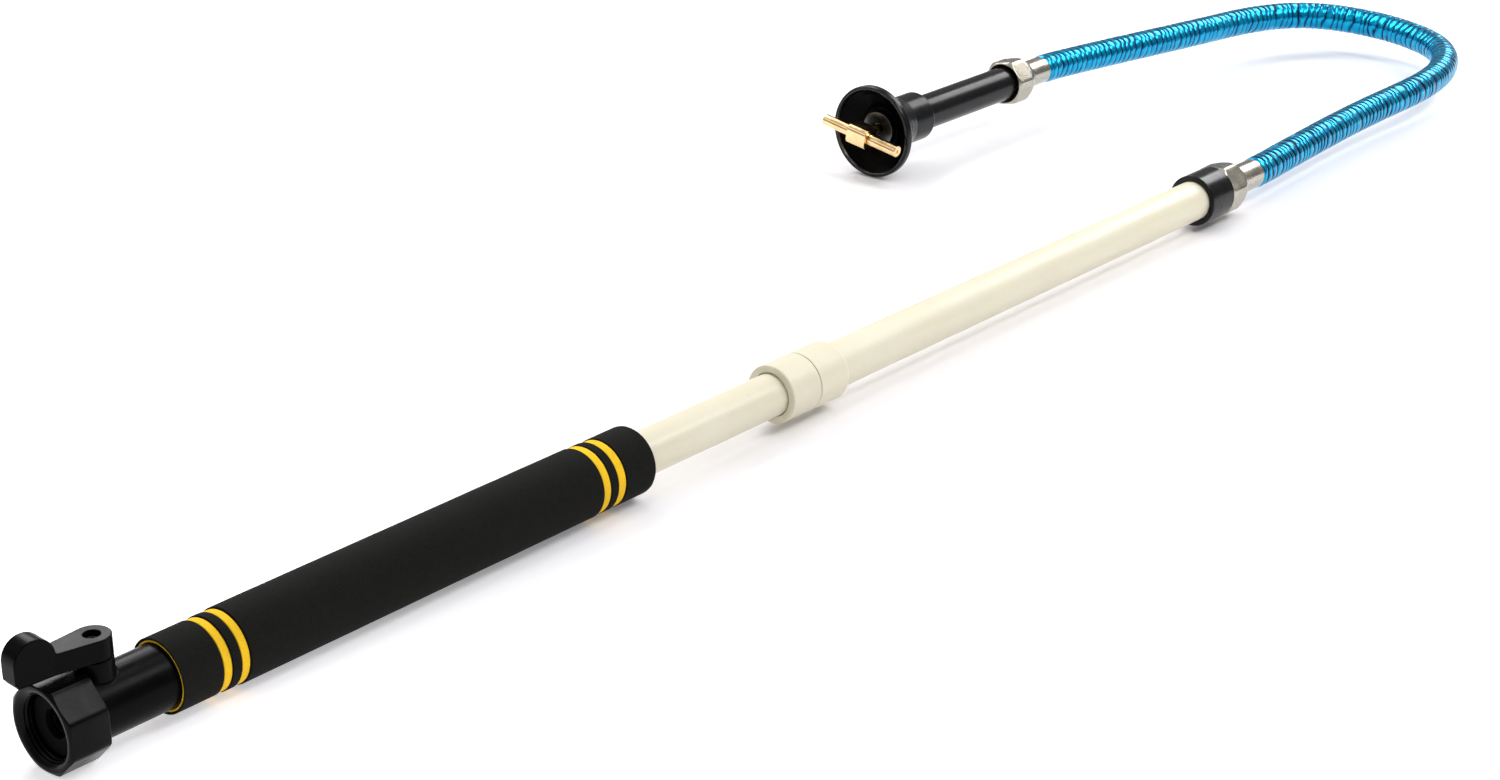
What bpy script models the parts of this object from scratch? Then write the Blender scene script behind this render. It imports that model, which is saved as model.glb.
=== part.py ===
"""Telescopic hose-fed cleaning wand: shut-off valve, foam grip, two-section pole,
bendable gooseneck hose and a spinning twin-jet head.  Lengths below are in mm and
are turned into metres where the meshes are made.  X runs along the pole from the
hose nut, Z is up, and the piece lies on the plane Z = 0."""
import math

import bmesh
import bpy
import numpy as np
from mathutils import Matrix, Vector

MM = 0.001
GAP = 0.3                       # clearance between pieces that touch

# ---------------------------------------------------------------- placement
ORIGIN = (465.45, 106.95)       # middle of the footprint without the hose
AXIS_Z = 17.5                   # pole axis above the resting plane
HEAD_Y, HEAD_Z = 203.0, 28.4    # spray head axis

# ---------------------------------------------------------------- valve end
NUT_AF, NUT_LEN = 35.0, 18.3    # eight-sided swivel nut
NUT_BORE = 14.0                 # 3/4 in hose thread, root radius
NUT_LIP = 9.3
BODY_R = 13.5
STEM_X = 25.9
BALL_R, BALL_BORE = 6.3, 3.5
HUB_R = 7.4
LEVER_Z0, LEVER_Z1 = 38.3, 46.9
FIN_R, FIN_X, FIN_HALF = 8.7, -0.7, 4.55
LEVER_TURN = -4.2               # degrees that the lever stands off the pole's line

# ---------------------------------------------------------------- grip and pole
GRIP_X0, GRIP_X1 = 53.6, 320.0
CORE_R0, CORE_R1 = 13.8, 14.6
CUFF_R, MAIN_R, REAR_R = 15.7, 16.3, 16.2
STRIPES = ((73.1, 76.9, 15.4), (81.8, 85.6, 15.6), (285.6, 289.8, 15.8), (295.0, 299.6, 15.7))
LOWER_R, LOWER_IN = 10.6, 9.8
LOWER_X1 = 690.0
UPPER_R, UPPER_IN = 11.45, 10.9
LOCK_X0, LOCK_SEAM, LOCK_X1 = 418.5, 439.3, 461.8
LOCK_R = 14.7
COLLAR_X0, COLLAR_X1, COLLAR_R = 798.9, 821.7, 14.85

# ---------------------------------------------------------------- hose fittings
UNION_AF = 27.0
UNION_TURN = 50.0               # degrees, brings one edge of the hexagon a little above the middle
UNION_X0, UNION_X1 = 822.2, 845.0
FERRULE_R, FERRULE_END = 8.7, 866.8
HOSE_R = 9.1
HEAD_NUT_X0, HEAD_NUT_X1 = 898.5, 921.3
HEAD_FERRULE_END = 941.3

# ---------------------------------------------------------------- spray head
RIM_X, RIM_R = 759.2, 28.4
NECK_X0, NECK_X1, NECK_R = 787.5, 805.5, 15.1
TUBE_R = 10.8
JET_X, JET_TILT = 750.0, 10.0
JET_R, JET_END = 3.5, 28.1
BLOCK = (12.2, 14.0, 12.0)

# Gooseneck centre line, pole ferrule to head ferrule.
ROUTE = (
    (867.3, 0.0, 17.5), (880.0, 0.3, 17.5), (895.5, 1.4, 17.5), (945.5, 4.5, 17.9), (995.5, 6.5, 18.5), (1045.5, 6.4, 19.2),
    (1095.5, 6.0, 20.2), (1120.5, 9.0, 20.7), (1145.0, 16.0, 21.2), (1167.5, 28.0, 21.8), (1185.0, 45.5, 22.4),
    (1196.5, 67.0, 22.9), (1202.5, 90.5, 23.6), (1203.0, 114.0, 24.1), (1197.0, 136.0, 24.7), (1182.0, 153.5, 25.3),
    (1160.5, 164.5, 25.8), (1113.0, 174.5, 26.7), (1063.5, 182.5, 27.5), (1014.5, 191.5, 28.1), (967.5, 200.0, 28.4),
    (954.0, 202.2, 28.4), (941.8, 203.0, 28.4),
)
# Arc lengths (mm) where the hose passes from one body to the next.
HOSE_CUTS = (215.0, 368.0, 388.0, 515.0)

for o in list(bpy.data.objects):
    bpy.data.objects.remove(o, do_unlink=True)

frame = bpy.data.objects.new("frame", None)
bpy.context.scene.collection.objects.link(frame)
frame.location = (-ORIGIN[0] * MM, -ORIGIN[1] * MM, 0.0)


# ---------------------------------------------------------------- helpers
def material(name, colour, rough, metal):
    m = bpy.data.materials.get(name)
    if m is None:
        m = bpy.data.materials.new(name)
        m.use_nodes = True
        p = m.node_tree.nodes["Principled BSDF"]
        p.inputs["Base Color"].default_value = (*colour, 1.0)
        p.inputs["Roughness"].default_value = rough
        p.inputs["Metallic"].default_value = metal
    return m


BLACK = material("black_plastic", (0.012, 0.012, 0.013), 0.38, 0.0)
FOAM = material("black_foam", (0.016, 0.016, 0.016), 0.95, 0.0)
YELLOW = material("yellow_foam", (0.85, 0.52, 0.03), 0.9, 0.0)
IVORY = material("ivory_plastic", (0.85, 0.80, 0.66), 0.4, 0.0)
STEEL = material("nickel_plate", (0.62, 0.60, 0.55), 0.3, 1.0)
BRASS = material("brass", (0.86, 0.62, 0.33), 0.28, 1.0)
RUBBER = material("black_rubber", (0.02, 0.02, 0.02), 0.85, 0.0)
WHITE = material("white_ptfe", (0.9, 0.9, 0.88), 0.5, 0.0)
BLUE = material("blue_hose", (0.01, 0.36, 0.66), 0.3, 0.6)


def group(name, at):
    """An empty on a joint's axis that carries the pieces of one moving body."""
    e = bpy.data.objects.new(name, None)
    bpy.context.scene.collection.objects.link(e)
    e.parent = frame
    e.location = Vector(at) * MM
    return e


def finish(obj, mat, parent, smooth=True):
    obj.data.materials.clear()
    obj.data.materials.append(mat)
    if smooth and obj.type == "MESH":
        obj.data.shade_smooth()
        obj.data.set_sharp_from_angle(angle=math.radians(35))
    obj.parent = parent
    if parent is not frame:
        obj.matrix_parent_inverse = Matrix.Translation(-parent.location)
    return obj


def mesh_object(name, bm):
    bmesh.ops.remove_doubles(bm, verts=bm.verts, dist=1e-7)
    bmesh.ops.recalc_face_normals(bm, faces=bm.faces)
    me = bpy.data.meshes.new(name)
    bm.to_mesh(me)
    bm.free()
    o = bpy.data.objects.new(name, me)
    bpy.context.scene.collection.objects.link(o)
    return o


def turned(name, profile, seg, centre=(0.0, AXIS_Z), along="X", phase=0.0):
    """Turns a closed (station, radius) outline about an axis.  For X the centre is
    (y, z), for Z it is (x, y); a profile that starts and ends at radius 0 is solid."""
    bm = bmesh.new()
    verts = []
    for s, r in profile:
        if along == "X":
            co = Vector((s, centre[0] + r * math.sin(phase), centre[1] - r * math.cos(phase)))
        else:
            co = Vector((centre[0] + r * math.cos(phase), centre[1] + r * math.sin(phase), s))
        verts.append(bm.verts.new(co * MM))
    solid = profile[0][1] == 0.0 and profile[-1][1] == 0.0
    edges = [bm.edges.new((verts[i], verts[i + 1])) for i in range(len(verts) - 1)]
    if not solid:
        edges.append(bm.edges.new((verts[-1], verts[0])))
    cent = Vector((0, centre[0], centre[1]) if along == "X" else (centre[0], centre[1], 0)) * MM
    axis = (1, 0, 0) if along == "X" else (0, 0, 1)
    bmesh.ops.spin(bm, geom=verts + edges, cent=cent, axis=axis, dvec=(0, 0, 0),
                   angle=math.tau, steps=seg, use_merge=True, use_normal_flip=False, use_duplicate=False)
    bmesh.ops.remove_doubles(bm, verts=bm.verts, dist=2e-6)
    return mesh_object(name, bm)


def prism(name, outline, lo, hi, plane):
    """Extrudes a closed outline.  plane 'yz' runs along X, 'xz' along Y, 'xy' along Z."""
    bm = bmesh.new()

    def place(a, b, t):
        return {"yz": (t, a, b), "xz": (a, t, b), "xy": (a, b, t)}[plane]

    base = [bm.verts.new(Vector(place(a, b, lo)) * MM) for a, b in outline]
    face = bm.faces.new(base)
    out = bmesh.ops.extrude_face_region(bm, geom=[face])
    moved = [v for v in out["geom"] if isinstance(v, bmesh.types.BMVert)]
    bmesh.ops.translate(bm, verts=moved, vec=Vector(place(0, 0, hi - lo)) * MM)
    return mesh_object(name, bm)


def polygon(af, sides, cy, cz, turn):
    r = af / 2 / math.cos(math.pi / sides)
    return [(cy + r * math.cos(turn + math.tau * k / sides), cz + r * math.sin(turn + math.tau * k / sides))
            for k in range(sides)]


def tool(obj):
    """A cutter or a joined blank: it shapes another piece and is no piece itself."""
    obj.hide_render = True
    obj.display_type = "WIRE"
    obj.parent = frame
    return obj


def boolean(obj, other, how):
    m = obj.modifiers.new(how.lower(), "BOOLEAN")
    m.object = other
    m.operation = how
    m.solver = "EXACT"
    return obj


# ---------------------------------------------------------------- gooseneck centre line
def spline(points, step=1.0):
    """Points every step mm along a natural cubic through the route's own points."""
    p = np.array(points, float)
    t = np.concatenate([[0], np.cumsum(np.linalg.norm(np.diff(p, axis=0), axis=1))])
    n, h = len(t), np.diff(t)
    A, rhs = np.eye(n), np.zeros((n, 3))
    for i in range(1, n - 1):
        A[i, i - 1], A[i, i], A[i, i + 1] = h[i - 1], 2 * (h[i - 1] + h[i]), h[i]
        rhs[i] = 6 * ((p[i + 1] - p[i]) / h[i] - (p[i] - p[i - 1]) / h[i - 1])
    m = np.linalg.solve(A, rhs)
    u = np.linspace(0, t[-1], 4001)
    k = np.clip(np.searchsorted(t, u, side="right") - 1, 0, n - 2)
    a, b, hk = (t[k + 1] - u)[:, None], (u - t[k])[:, None], h[k][:, None]
    c = (m[k] * a ** 3 + m[k + 1] * b ** 3) / (6 * hk) + (p[k] / hk - m[k] * hk / 6) * a + (p[k + 1] / hk - m[k + 1] * hk / 6) * b
    s = np.concatenate([[0], np.cumsum(np.linalg.norm(np.diff(c, axis=0), axis=1))])
    q = np.linspace(0, s[-1], int(round(s[-1] / step)) + 1)
    return q, np.stack([np.interp(q, s, c[:, i]) for i in range(3)], 1)


ARC, LINE = spline(ROUTE)


def bend_pivot(s0, s1):
    """Centre about which the hose past s1 turns so that the stretch s0 to s1 comes
    out straight at its own length."""
    def heading(at):
        d = [np.interp(at + 1.0, ARC, LINE[:, i]) - np.interp(at - 1.0, ARC, LINE[:, i]) for i in range(2)]
        return math.atan2(d[1], d[0])

    a, b = (np.array([np.interp(at, ARC, LINE[:, i]) for i in range(2)]) for at in (s0, s1))
    h0 = heading(s0)
    turn = h0 - heading(s1)
    rot = np.array([[math.cos(turn), -math.sin(turn)], [math.sin(turn), math.cos(turn)]])
    end = a + (s1 - s0) * np.array([math.cos(h0), math.sin(h0)])
    x, y = np.linalg.solve(np.eye(2) - rot, end - rot @ b)
    z = np.interp((s0 + s1) / 2, ARC, LINE[:, 2])
    return float(x), float(y), float(z)


# ---------------------------------------------------------------- bodies
G_NUT = group("nut_axis", (0, 0, AXIS_Z))
G_LEVER = group("lever_axis", (STEM_X, 0, AXIS_Z))
G_UPPER = group("upper_pole", (LOCK_X0, 0, AXIS_Z))
G_LOCK = group("lock_axis", (LOCK_X0, 0, AXIS_Z))
G_UNION = group("union_axis", (UNION_X0, 0, AXIS_Z))
G_NEAR = group("near_bend_axis", bend_pivot(HOSE_CUTS[0], HOSE_CUTS[1]))
G_HEAD = group("far_bend_axis", bend_pivot(HOSE_CUTS[2], HOSE_CUTS[3]))
G_HEAD_NUT = group("head_nut_axis", (HEAD_NUT_X0, HEAD_Y, HEAD_Z))
G_SPIN = group("spinner_axis", (JET_X, HEAD_Y, HEAD_Z))

# ---------------------------------------------------------------- hose nut
nut = prism("swivel_nut", polygon(NUT_AF, 8, 0, AXIS_Z, math.pi / 8), 0, NUT_LEN, "yz")
boolean(nut, tool(turned("nut_bore", [(-2, 0), (-2, NUT_BORE), (12, NUT_BORE), (12, NUT_LIP),
                                      (NUT_LEN + 2, NUT_LIP), (NUT_LEN + 2, 0)], 24)), "DIFFERENCE")
finish(nut, BLACK, G_NUT)
finish(turned("hose_washer", [(6.2, 6), (6.2, 12.7), (8.7, 12.7), (8.7, 6)], 20), RUBBER, G_NUT)
finish(turned("tail_flange", [(9.0, 4), (9.0, 12.2), (11.7, 12.2), (11.7, 6.7), (19.3, 6.7), (19.3, 4)], 20),
       BLACK, frame)

# ---------------------------------------------------------------- valve body with stem boss
body = turned("valve_body", [
    (12.0, 7.0), (12.0, 8.9), (19.3, 8.9), (19.3, BODY_R - 0.5), (19.8, BODY_R), (70, BODY_R), (70, 11.0),
    (38.2, 11.0), (38.2, 4.5), (33, 4.5), (33, 7.8), (19.6, 7.8), (19.6, 7.0)], 32)
boss = tool(turned("stem_boss", [(AXIS_Z + 9, 0), (AXIS_Z + 9, HUB_R), (LEVER_Z0 - GAP - 0.1, HUB_R),
                                 (LEVER_Z0 - GAP - 0.1, 0)], 24, (STEM_X, 0), "Z"))
hole = tool(turned("stem_hole", [(AXIS_Z, 0), (AXIS_Z, 2.8), (35.4, 2.8), (35.4, 4.6), (50, 4.6), (50, 0)],
                   16, (STEM_X, 0), "Z"))
boolean(body, boss, "UNION")
boolean(body, hole, "DIFFERENCE")
finish(body, BLACK, frame)


def ball_arc(n=8):
    pts, half = [], math.acos(BALL_BORE / BALL_R)
    for k in range(n + 1):
        a = -half + 2 * half * k / n
        pts.append((STEM_X + BALL_R * math.sin(a), BALL_R * math.cos(a)))
    return pts


finish(turned("valve_ball", ball_arc(), 20), STEEL, G_LEVER)
for label, d in (("front", -1), ("rear", 1)):
    ring = [(6.2, 4.0), (6.2, 7.5), (3.4, 7.5), (3.4, 5.8), (5.4, 4.0)]
    finish(turned(f"seat_{label}", [(STEM_X + d * a, r) for a, r in ring], 20), WHITE, frame)
finish(turned("valve_stem", [(24.1, 0), (24.1, 2.5), (42.8, 2.5), (42.8, 1.6), (36, 1.6), (36, 0)],
              16, (STEM_X, 0), "Z"), STEEL, G_LEVER)
finish(turned("stem_oring", [(36.15, 2.85), (35.75, 3.4), (35.75, 3.9), (36.15, 4.3), (37.3, 4.3), (37.6, 3.6),
                             (37.3, 2.85)], 16, (STEM_X, 0), "Z"), RUBBER, frame)

# ---------------------------------------------------------------- lever
def swing(obj):
    """Turns a blank about the stem's own axis."""
    about = Vector((STEM_X, 0, 0)) * MM
    obj.data.transform(Matrix.Translation(about) @ Matrix.Rotation(math.radians(LEVER_TURN), 4, "Z") @ Matrix.Translation(-about))
    return obj


tip = FIN_X + FIN_R
hub_pts = [(STEM_X + HUB_R * math.cos(a), HUB_R * math.sin(a))
           for a in (math.radians(-105 + 210 * k / 14) for k in range(15))]
plan = hub_pts + [(tip - 1.0, FIN_HALF), (FIN_X - FIN_R + 1.0, FIN_HALF),
                  (FIN_X - FIN_R + 1.0, -FIN_HALF), (tip - 1.0, -FIN_HALF)]
lever = swing(prism("lever", plan, LEVER_Z0, LEVER_Z1, "xy"))
arc = [(FIN_X + FIN_R * math.cos(math.pi * k / 14), LEVER_Z1 + FIN_R * math.sin(math.pi * k / 14)) for k in range(15)]
fin = tool(swing(prism("lever_fin", arc + [(FIN_X - FIN_R, LEVER_Z0 + 1.2), (FIN_X - FIN_R + 1.2, LEVER_Z0 - 0.01),
                                           (tip, LEVER_Z0 - 0.01)], -FIN_HALF - 0.01, FIN_HALF + 0.01, "xz")))
boolean(lever, fin, "UNION")
boolean(lever, tool(turned("lever_hole", [(30, 0), (30, 2.8), (43, 2.8), (43, 3.3), (60, 3.3), (60, 0)],
                           20, (STEM_X, 0), "Z")), "DIFFERENCE")
finish(lever, BLACK, G_LEVER)
finish(turned("lever_screw", [(36.4, 0), (36.4, 1.25), (43.1, 1.25), (43.1, 2.95), (44.6, 2.95), (44.9, 2.4), (44.9, 0)],
              16, (STEM_X, 0), "Z"), STEEL, G_LEVER)

# ---------------------------------------------------------------- lower pole and grip
finish(turned("lower_tube", [(38.6, LOWER_IN), (38.6, LOWER_R), (LOWER_X1, LOWER_R), (LOWER_X1, LOWER_IN)], 32),
       IVORY, frame)
finish(turned("handle_barrel", [(70.3, 11.0), (70.3, BODY_R), (312, BODY_R), (312, 11.0)], 24), BLACK, frame)
core = [(GRIP_X0 + 0.4, CORE_R0), (GRIP_X0 + 0.4, CORE_R1)]
for a, b, r in STRIPES:
    core += [(a, CORE_R1), (a, r), (b, r), (b, CORE_R1)]
core += [(311, CORE_R1), (311, CORE_R0)]
finish(turned("grip_core", core, 32), YELLOW, frame)
S = STRIPES
IN_R = CORE_R1 + GAP


def sleeve(name, a, b, r, soft0, soft1):
    """A foam ring with its outer edges eased by soft0 and soft1 mm."""
    out = [(a, IN_R)]
    out += [(a, r - soft0), (a + soft0, r)] if soft0 else [(a, r)]
    out += [(b - soft1, r), (b, r - soft1)] if soft1 else [(b, r)]
    out += [(b, IN_R)]
    finish(turned(name, out, 32), FOAM, frame)


sleeve("grip_front_cuff", GRIP_X0, S[0][0] - GAP, CUFF_R, 0.5, 0)
sleeve("grip_front_band", S[0][1] + GAP, S[1][0] - GAP, 15.85, 0, 0)
sleeve("grip_main_sleeve", S[1][1] + GAP, S[2][0] - GAP, MAIN_R, 0.3, 0.3)
sleeve("grip_rear_band", S[2][1] + GAP, S[3][0] - GAP, 16.15, 0, 0)
rear = [(S[3][1] + GAP, IN_R), (S[3][1] + GAP, REAR_R), (314.5, REAR_R), (317.6, 15.3), (319.4, 13.6), (GRIP_X1, 11.6),
        (GRIP_X1 - 0.4, 11.1), (312.6, 11.1), (312.6, IN_R)]
finish(turned("grip_rear_cuff", rear, 32), FOAM, frame)

# ---------------------------------------------------------------- sliding seal at the tube's end
finish(turned("tube_piston", [(676, 6), (676, 9.4), (690.4, 9.4), (690.4, 10.55), (692.5, 10.55), (692.5, 9.2),
                              (695.5, 9.2), (695.5, 10.55), (697.5, 10.55), (697.5, 9.2), (700.5, 9.2),
                              (700.5, 10.55), (702.5, 10.55), (702.5, 6)], 20), WHITE, frame)
for k, x in enumerate((692.8, 697.8)):
    finish(turned(f"piston_ring_{'ab'[k]}", [(x, 9.5), (x, 10.3), (x + 0.6, 10.6), (x + 1.8, 10.6), (x + 2.4, 10.3),
                                             (x + 2.4, 9.5)], 20), RUBBER, frame)

# ---------------------------------------------------------------- upper pole and twist lock
finish(turned("upper_tube", [(443.2, UPPER_IN), (443.2, UPPER_R), (816.8, UPPER_R), (816.8, UPPER_IN)], 32), IVORY, G_UPPER)
finish(turned("lock_body", [(424.8, 12.45), (424.8, 13.1), (LOCK_SEAM + GAP, 13.1), (LOCK_SEAM + GAP, LOCK_R),
                            (460.1, LOCK_R), (LOCK_X1, 13.8), (LOCK_X1, UPPER_R + GAP), (442.9, UPPER_R + GAP),
                            (442.9, UPPER_IN), (441.1, UPPER_IN), (441.1, 11.7)], 32), IVORY, G_UPPER)
finish(turned("lock_nut", [(LOCK_X0, 11.0), (LOCK_X0, LOCK_R - 0.6), (LOCK_X0 + 0.6, LOCK_R), (LOCK_SEAM, LOCK_R),
                           (LOCK_SEAM, 13.4), (421.2, 13.4), (421.2, 11.0)], 32), IVORY, G_LOCK)
finish(turned("lock_collet", [(421.6, 10.95), (421.6, 12.9), (424.4, 12.9), (424.4, 12.05), (440.7, 11.35),
                              (440.7, 10.95)], 24), WHITE, G_UPPER)

# ---------------------------------------------------------------- pole end and hose union
finish(turned("end_collar", [(COLLAR_X0, UPPER_R + GAP), (COLLAR_X0, COLLAR_R - 0.6), (COLLAR_X0 + 0.6, COLLAR_R),
                             (COLLAR_X1, COLLAR_R), (COLLAR_X1, 10.0), (834.8, 10.0), (834.8, 6), (817.2, 6),
                             (817.2, UPPER_R + GAP)], 32), BLACK, G_UPPER)
finish(turned("union_washer", [(835.1, 6), (835.1, 9.9), (837.1, 9.9), (837.1, 6)], 20), RUBBER, G_UPPER)
finish(turned("hose_tail", [(837.4, 4), (837.4, 10.3), (839.8, 10.3), (839.8, 6.0), (866.5, 6.0), (866.5, 4)], 20),
       STEEL, G_UPPER)
finish(turned("ferrule", [(845.4, 6.3), (845.4, FERRULE_R), (FERRULE_END, FERRULE_R), (FERRULE_END, 6.3)], 24),
       STEEL, G_UPPER)


def union_nut(name, x0, x1, cy, cz, parent):
    """Six-sided union nut whose thread opens towards -X; a short bevel at the mouth and a
    long cone at the hose end cut back its corners."""
    n = prism(name, polygon(UNION_AF, 6, cy, cz, math.radians(UNION_TURN)), x0, x1, "yz")
    cone = [(x0, 0), (x0, 13.3), (x0 + 2.2, 15.2), (x1 - 9.0, 15.2), (x1, 10.2), (x1, 0)]
    boolean(n, tool(turned(name + "_cone", cone, 24, (cy, cz))), "INTERSECT")
    lip = x1 - 4.6
    bore = [(x0 - 2, 0), (x0 - 2, 12.3), (x0 + 3.0, 12.3), (x0 + 4.2, 10.65), (lip, 10.65), (lip, 6.35), (x1 + 2, 6.35), (x1 + 2, 0)]
    boolean(n, tool(turned(name + "_bore", bore, 20, (cy, cz))), "DIFFERENCE")
    return finish(n, STEEL, parent)


union_nut("union_nut", UNION_X0, UNION_X1, 0, AXIS_Z, G_UNION)

# ---------------------------------------------------------------- spray head
HC = (HEAD_Y, HEAD_Z)
union_nut("head_union_nut", HEAD_NUT_X0, HEAD_NUT_X1, HEAD_Y, HEAD_Z, G_HEAD_NUT)
finish(turned("head_ferrule", [(921.7, 6.3), (921.7, FERRULE_R), (HEAD_FERRULE_END, FERRULE_R),
                               (HEAD_FERRULE_END, 6.3)], 24, HC), STEEL, G_HEAD)
finish(turned("head_hose_tail", [(913.7, 4), (913.7, 10.3), (916.1, 10.3), (916.1, 6.0), (941.0, 6.0), (941.0, 4)],
              20, HC), STEEL, G_HEAD)
finish(turned("head_washer", [(911.4, 6), (911.4, 9.9), (913.4, 9.9), (913.4, 6)], 20, HC), RUBBER, G_HEAD)
finish(turned("nozzle_tube", [(792.4, 8.0), (792.4, TUBE_R), (900.0, TUBE_R), (900.0, 10.1), (911.1, 10.1), (911.1, 6.5),
                              (800, 6.5), (800, 8.0)], 28, HC), BLACK, G_HEAD)
finish(turned("splash_shield", [
    (RIM_X + 0.2, 26.0), (RIM_X, 26.4), (RIM_X + 0.4, 28.0), (RIM_X + 2.0, RIM_R), (RIM_X + 4.0, 28.0),
    (RIM_X + 6.5, 25.6), (RIM_X + 13.5, 20.6), (RIM_X + 21.5, 16.6), (NECK_X0, NECK_R), (NECK_X1 - 1.2, NECK_R),
    (NECK_X1, NECK_R - 1.2), (NECK_X1, TUBE_R + GAP), (792.0, TUBE_R + GAP), (792.0, 6.5), (768.0, 6.5), (768.0, 4.0),
    (766.0, 4.0), (766.0, 10.6), (766.5, 11.1), (770.5, 11.3), (770.5, 13.2), (764.0, 22.5), (761.2, 25.8)], 32, HC), BLACK, G_HEAD)
finish(turned("spindle_bush", [(768.3, 3.7), (768.3, 6.2), (791.6, 6.2), (791.6, 3.7)], 16, HC), WHITE, G_HEAD)

# ---------------------------------------------------------------- spinning jets
finish(turned("spindle", [(JET_X + BLOCK[0] / 2 + GAP, 1.6), (JET_X + BLOCK[0] / 2 + GAP, 3.4), (792.2, 3.4),
                          (792.2, 2.6), (793.8, 2.6), (793.8, 3.4), (796.0, 3.4), (796.0, 1.6)], 16, HC), BRASS, G_SPIN)
finish(turned("spindle_clip", [(792.5, 2.9), (792.5, 5.6), (793.5, 5.6), (793.5, 2.9)], 16, HC), STEEL, G_SPIN)
TILT = Matrix.Rotation(math.radians(JET_TILT), 4, "X")
TO_JET = Matrix.Translation(Vector((JET_X, HEAD_Y, HEAD_Z)) * MM) @ TILT


def jet_block():
    bm = bmesh.new()
    bmesh.ops.create_cube(bm, size=1.0)
    for v in bm.verts:
        v.co = Vector((v.co.x * BLOCK[0], v.co.y * BLOCK[1], v.co.z * BLOCK[2])) * MM
    front = [e for e in bm.edges if all(v.co.x < 0 for v in e.verts) and abs(e.verts[0].co.y - e.verts[1].co.y) > 1e-6]
    bmesh.ops.bevel(bm, geom=front, offset=3.5 * MM, segments=4, profile=0.5, affect="EDGES")
    bm.transform(TO_JET)
    return mesh_object("jet_block", bm)


def jet_arm(name, side):
    bm = bmesh.new()
    a, b = side * (BLOCK[1] / 2 + GAP), side * JET_END
    prof = [(a, 1.3), (a, JET_R), (b - side * 0.5, JET_R), (b, JET_R - 0.5), (b, 1.3)]
    verts = [bm.verts.new(Vector((0, s, r)) * MM) for s, r in prof]
    edges = [bm.edges.new((verts[i], verts[(i + 1) % len(verts)])) for i in range(len(verts))]
    bmesh.ops.spin(bm, geom=verts + edges, cent=(0, 0, 0), axis=(0, 1, 0), dvec=(0, 0, 0), angle=math.tau, steps=16,
                   use_merge=True, use_normal_flip=False, use_duplicate=False)
    bmesh.ops.remove_doubles(bm, verts=bm.verts, dist=2e-6)
    bm.transform(TO_JET)
    return mesh_object(name, bm)


finish(jet_block(), BRASS, G_SPIN)
finish(jet_arm("jet_arm_near", -1), BRASS, G_SPIN)
finish(jet_arm("jet_arm_far", 1), BRASS, G_SPIN)


# ---------------------------------------------------------------- gooseneck hose
def hose(name, s0, s1, parent):
    """One stretch of the gooseneck as a capped round tube."""
    n = max(2, int(round((s1 - s0) / (2.0 * HOSE_R * 1.2))) + 1)
    inner = np.linspace(s0, s1, n)[1:-1]
    at = np.concatenate([[s0, s0 + 1.0], inner, [s1 - 1.0, s1]])   # square ends
    n = len(at)
    pts = [[np.interp(a, ARC, LINE[:, i]) for i in range(3)] for a in at]
    cu = bpy.data.curves.new(name, "CURVE")
    cu.dimensions = "3D"
    cu.bevel_depth = HOSE_R * MM
    cu.bevel_resolution = 3
    cu.render_resolution_u = 0
    cu.use_fill_caps = True
    sp = cu.splines.new("POLY")
    sp.points.add(n - 1)
    for q, c in zip(sp.points, pts):
        q.co = (c[0] * MM, c[1] * MM, c[2] * MM, 1.0)
    o = bpy.data.objects.new(name, cu)
    bpy.context.scene.collection.objects.link(o)
    return finish(o, BLUE, parent)


C = HOSE_CUTS
hose("hose_near_leg", 0.0, C[0] - GAP, G_UPPER)
hose("hose_near_bend", C[0] + GAP, C[1] - GAP, G_NEAR)
hose("hose_crown", C[1] + GAP, C[2] - GAP, G_NEAR)
hose("hose_far_bend", C[2] + GAP, C[3] - GAP, G_HEAD)
hose("hose_far_leg", C[3] + GAP, float(ARC[-1]), G_HEAD)
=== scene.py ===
"""Telescopic hose-fed wash wand lying on a pale floor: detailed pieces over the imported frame.
Lengths are in mm, X along the pole from the hose nut, and become metres in the row frame
where the meshes are made."""
import math

import bmesh
import bpy
import numpy as np
from mathutils import Matrix, Vector


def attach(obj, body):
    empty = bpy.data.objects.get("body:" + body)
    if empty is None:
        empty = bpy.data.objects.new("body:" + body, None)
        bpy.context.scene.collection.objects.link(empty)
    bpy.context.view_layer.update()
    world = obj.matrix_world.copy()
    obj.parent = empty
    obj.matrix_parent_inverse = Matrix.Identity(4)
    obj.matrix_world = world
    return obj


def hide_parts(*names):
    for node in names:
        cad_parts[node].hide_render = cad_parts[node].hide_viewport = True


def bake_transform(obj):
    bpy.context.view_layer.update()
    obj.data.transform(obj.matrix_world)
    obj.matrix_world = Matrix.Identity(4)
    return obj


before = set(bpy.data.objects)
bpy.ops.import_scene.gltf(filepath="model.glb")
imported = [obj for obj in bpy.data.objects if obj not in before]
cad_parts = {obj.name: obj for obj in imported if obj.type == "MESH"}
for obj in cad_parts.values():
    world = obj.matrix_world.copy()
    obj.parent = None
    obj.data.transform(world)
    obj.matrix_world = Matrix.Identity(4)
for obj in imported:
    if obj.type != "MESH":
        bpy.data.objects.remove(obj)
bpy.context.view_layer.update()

MM = 0.001
OX, OY = 465.45, 106.95
AXIS_Z = 17.5
HEAD_Y, HEAD_Z = 203.0, 28.4
POLE = (0.0, AXIS_Z)
HEAD = (HEAD_Y, HEAD_Z)
scene = bpy.context.scene


def row(points):
    p = np.array(points, float)
    p[..., 0] -= OX
    p[..., 1] -= OY
    return p * MM


def at(x, y, z):
    return Vector(row((x, y, z)).tolist())


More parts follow.
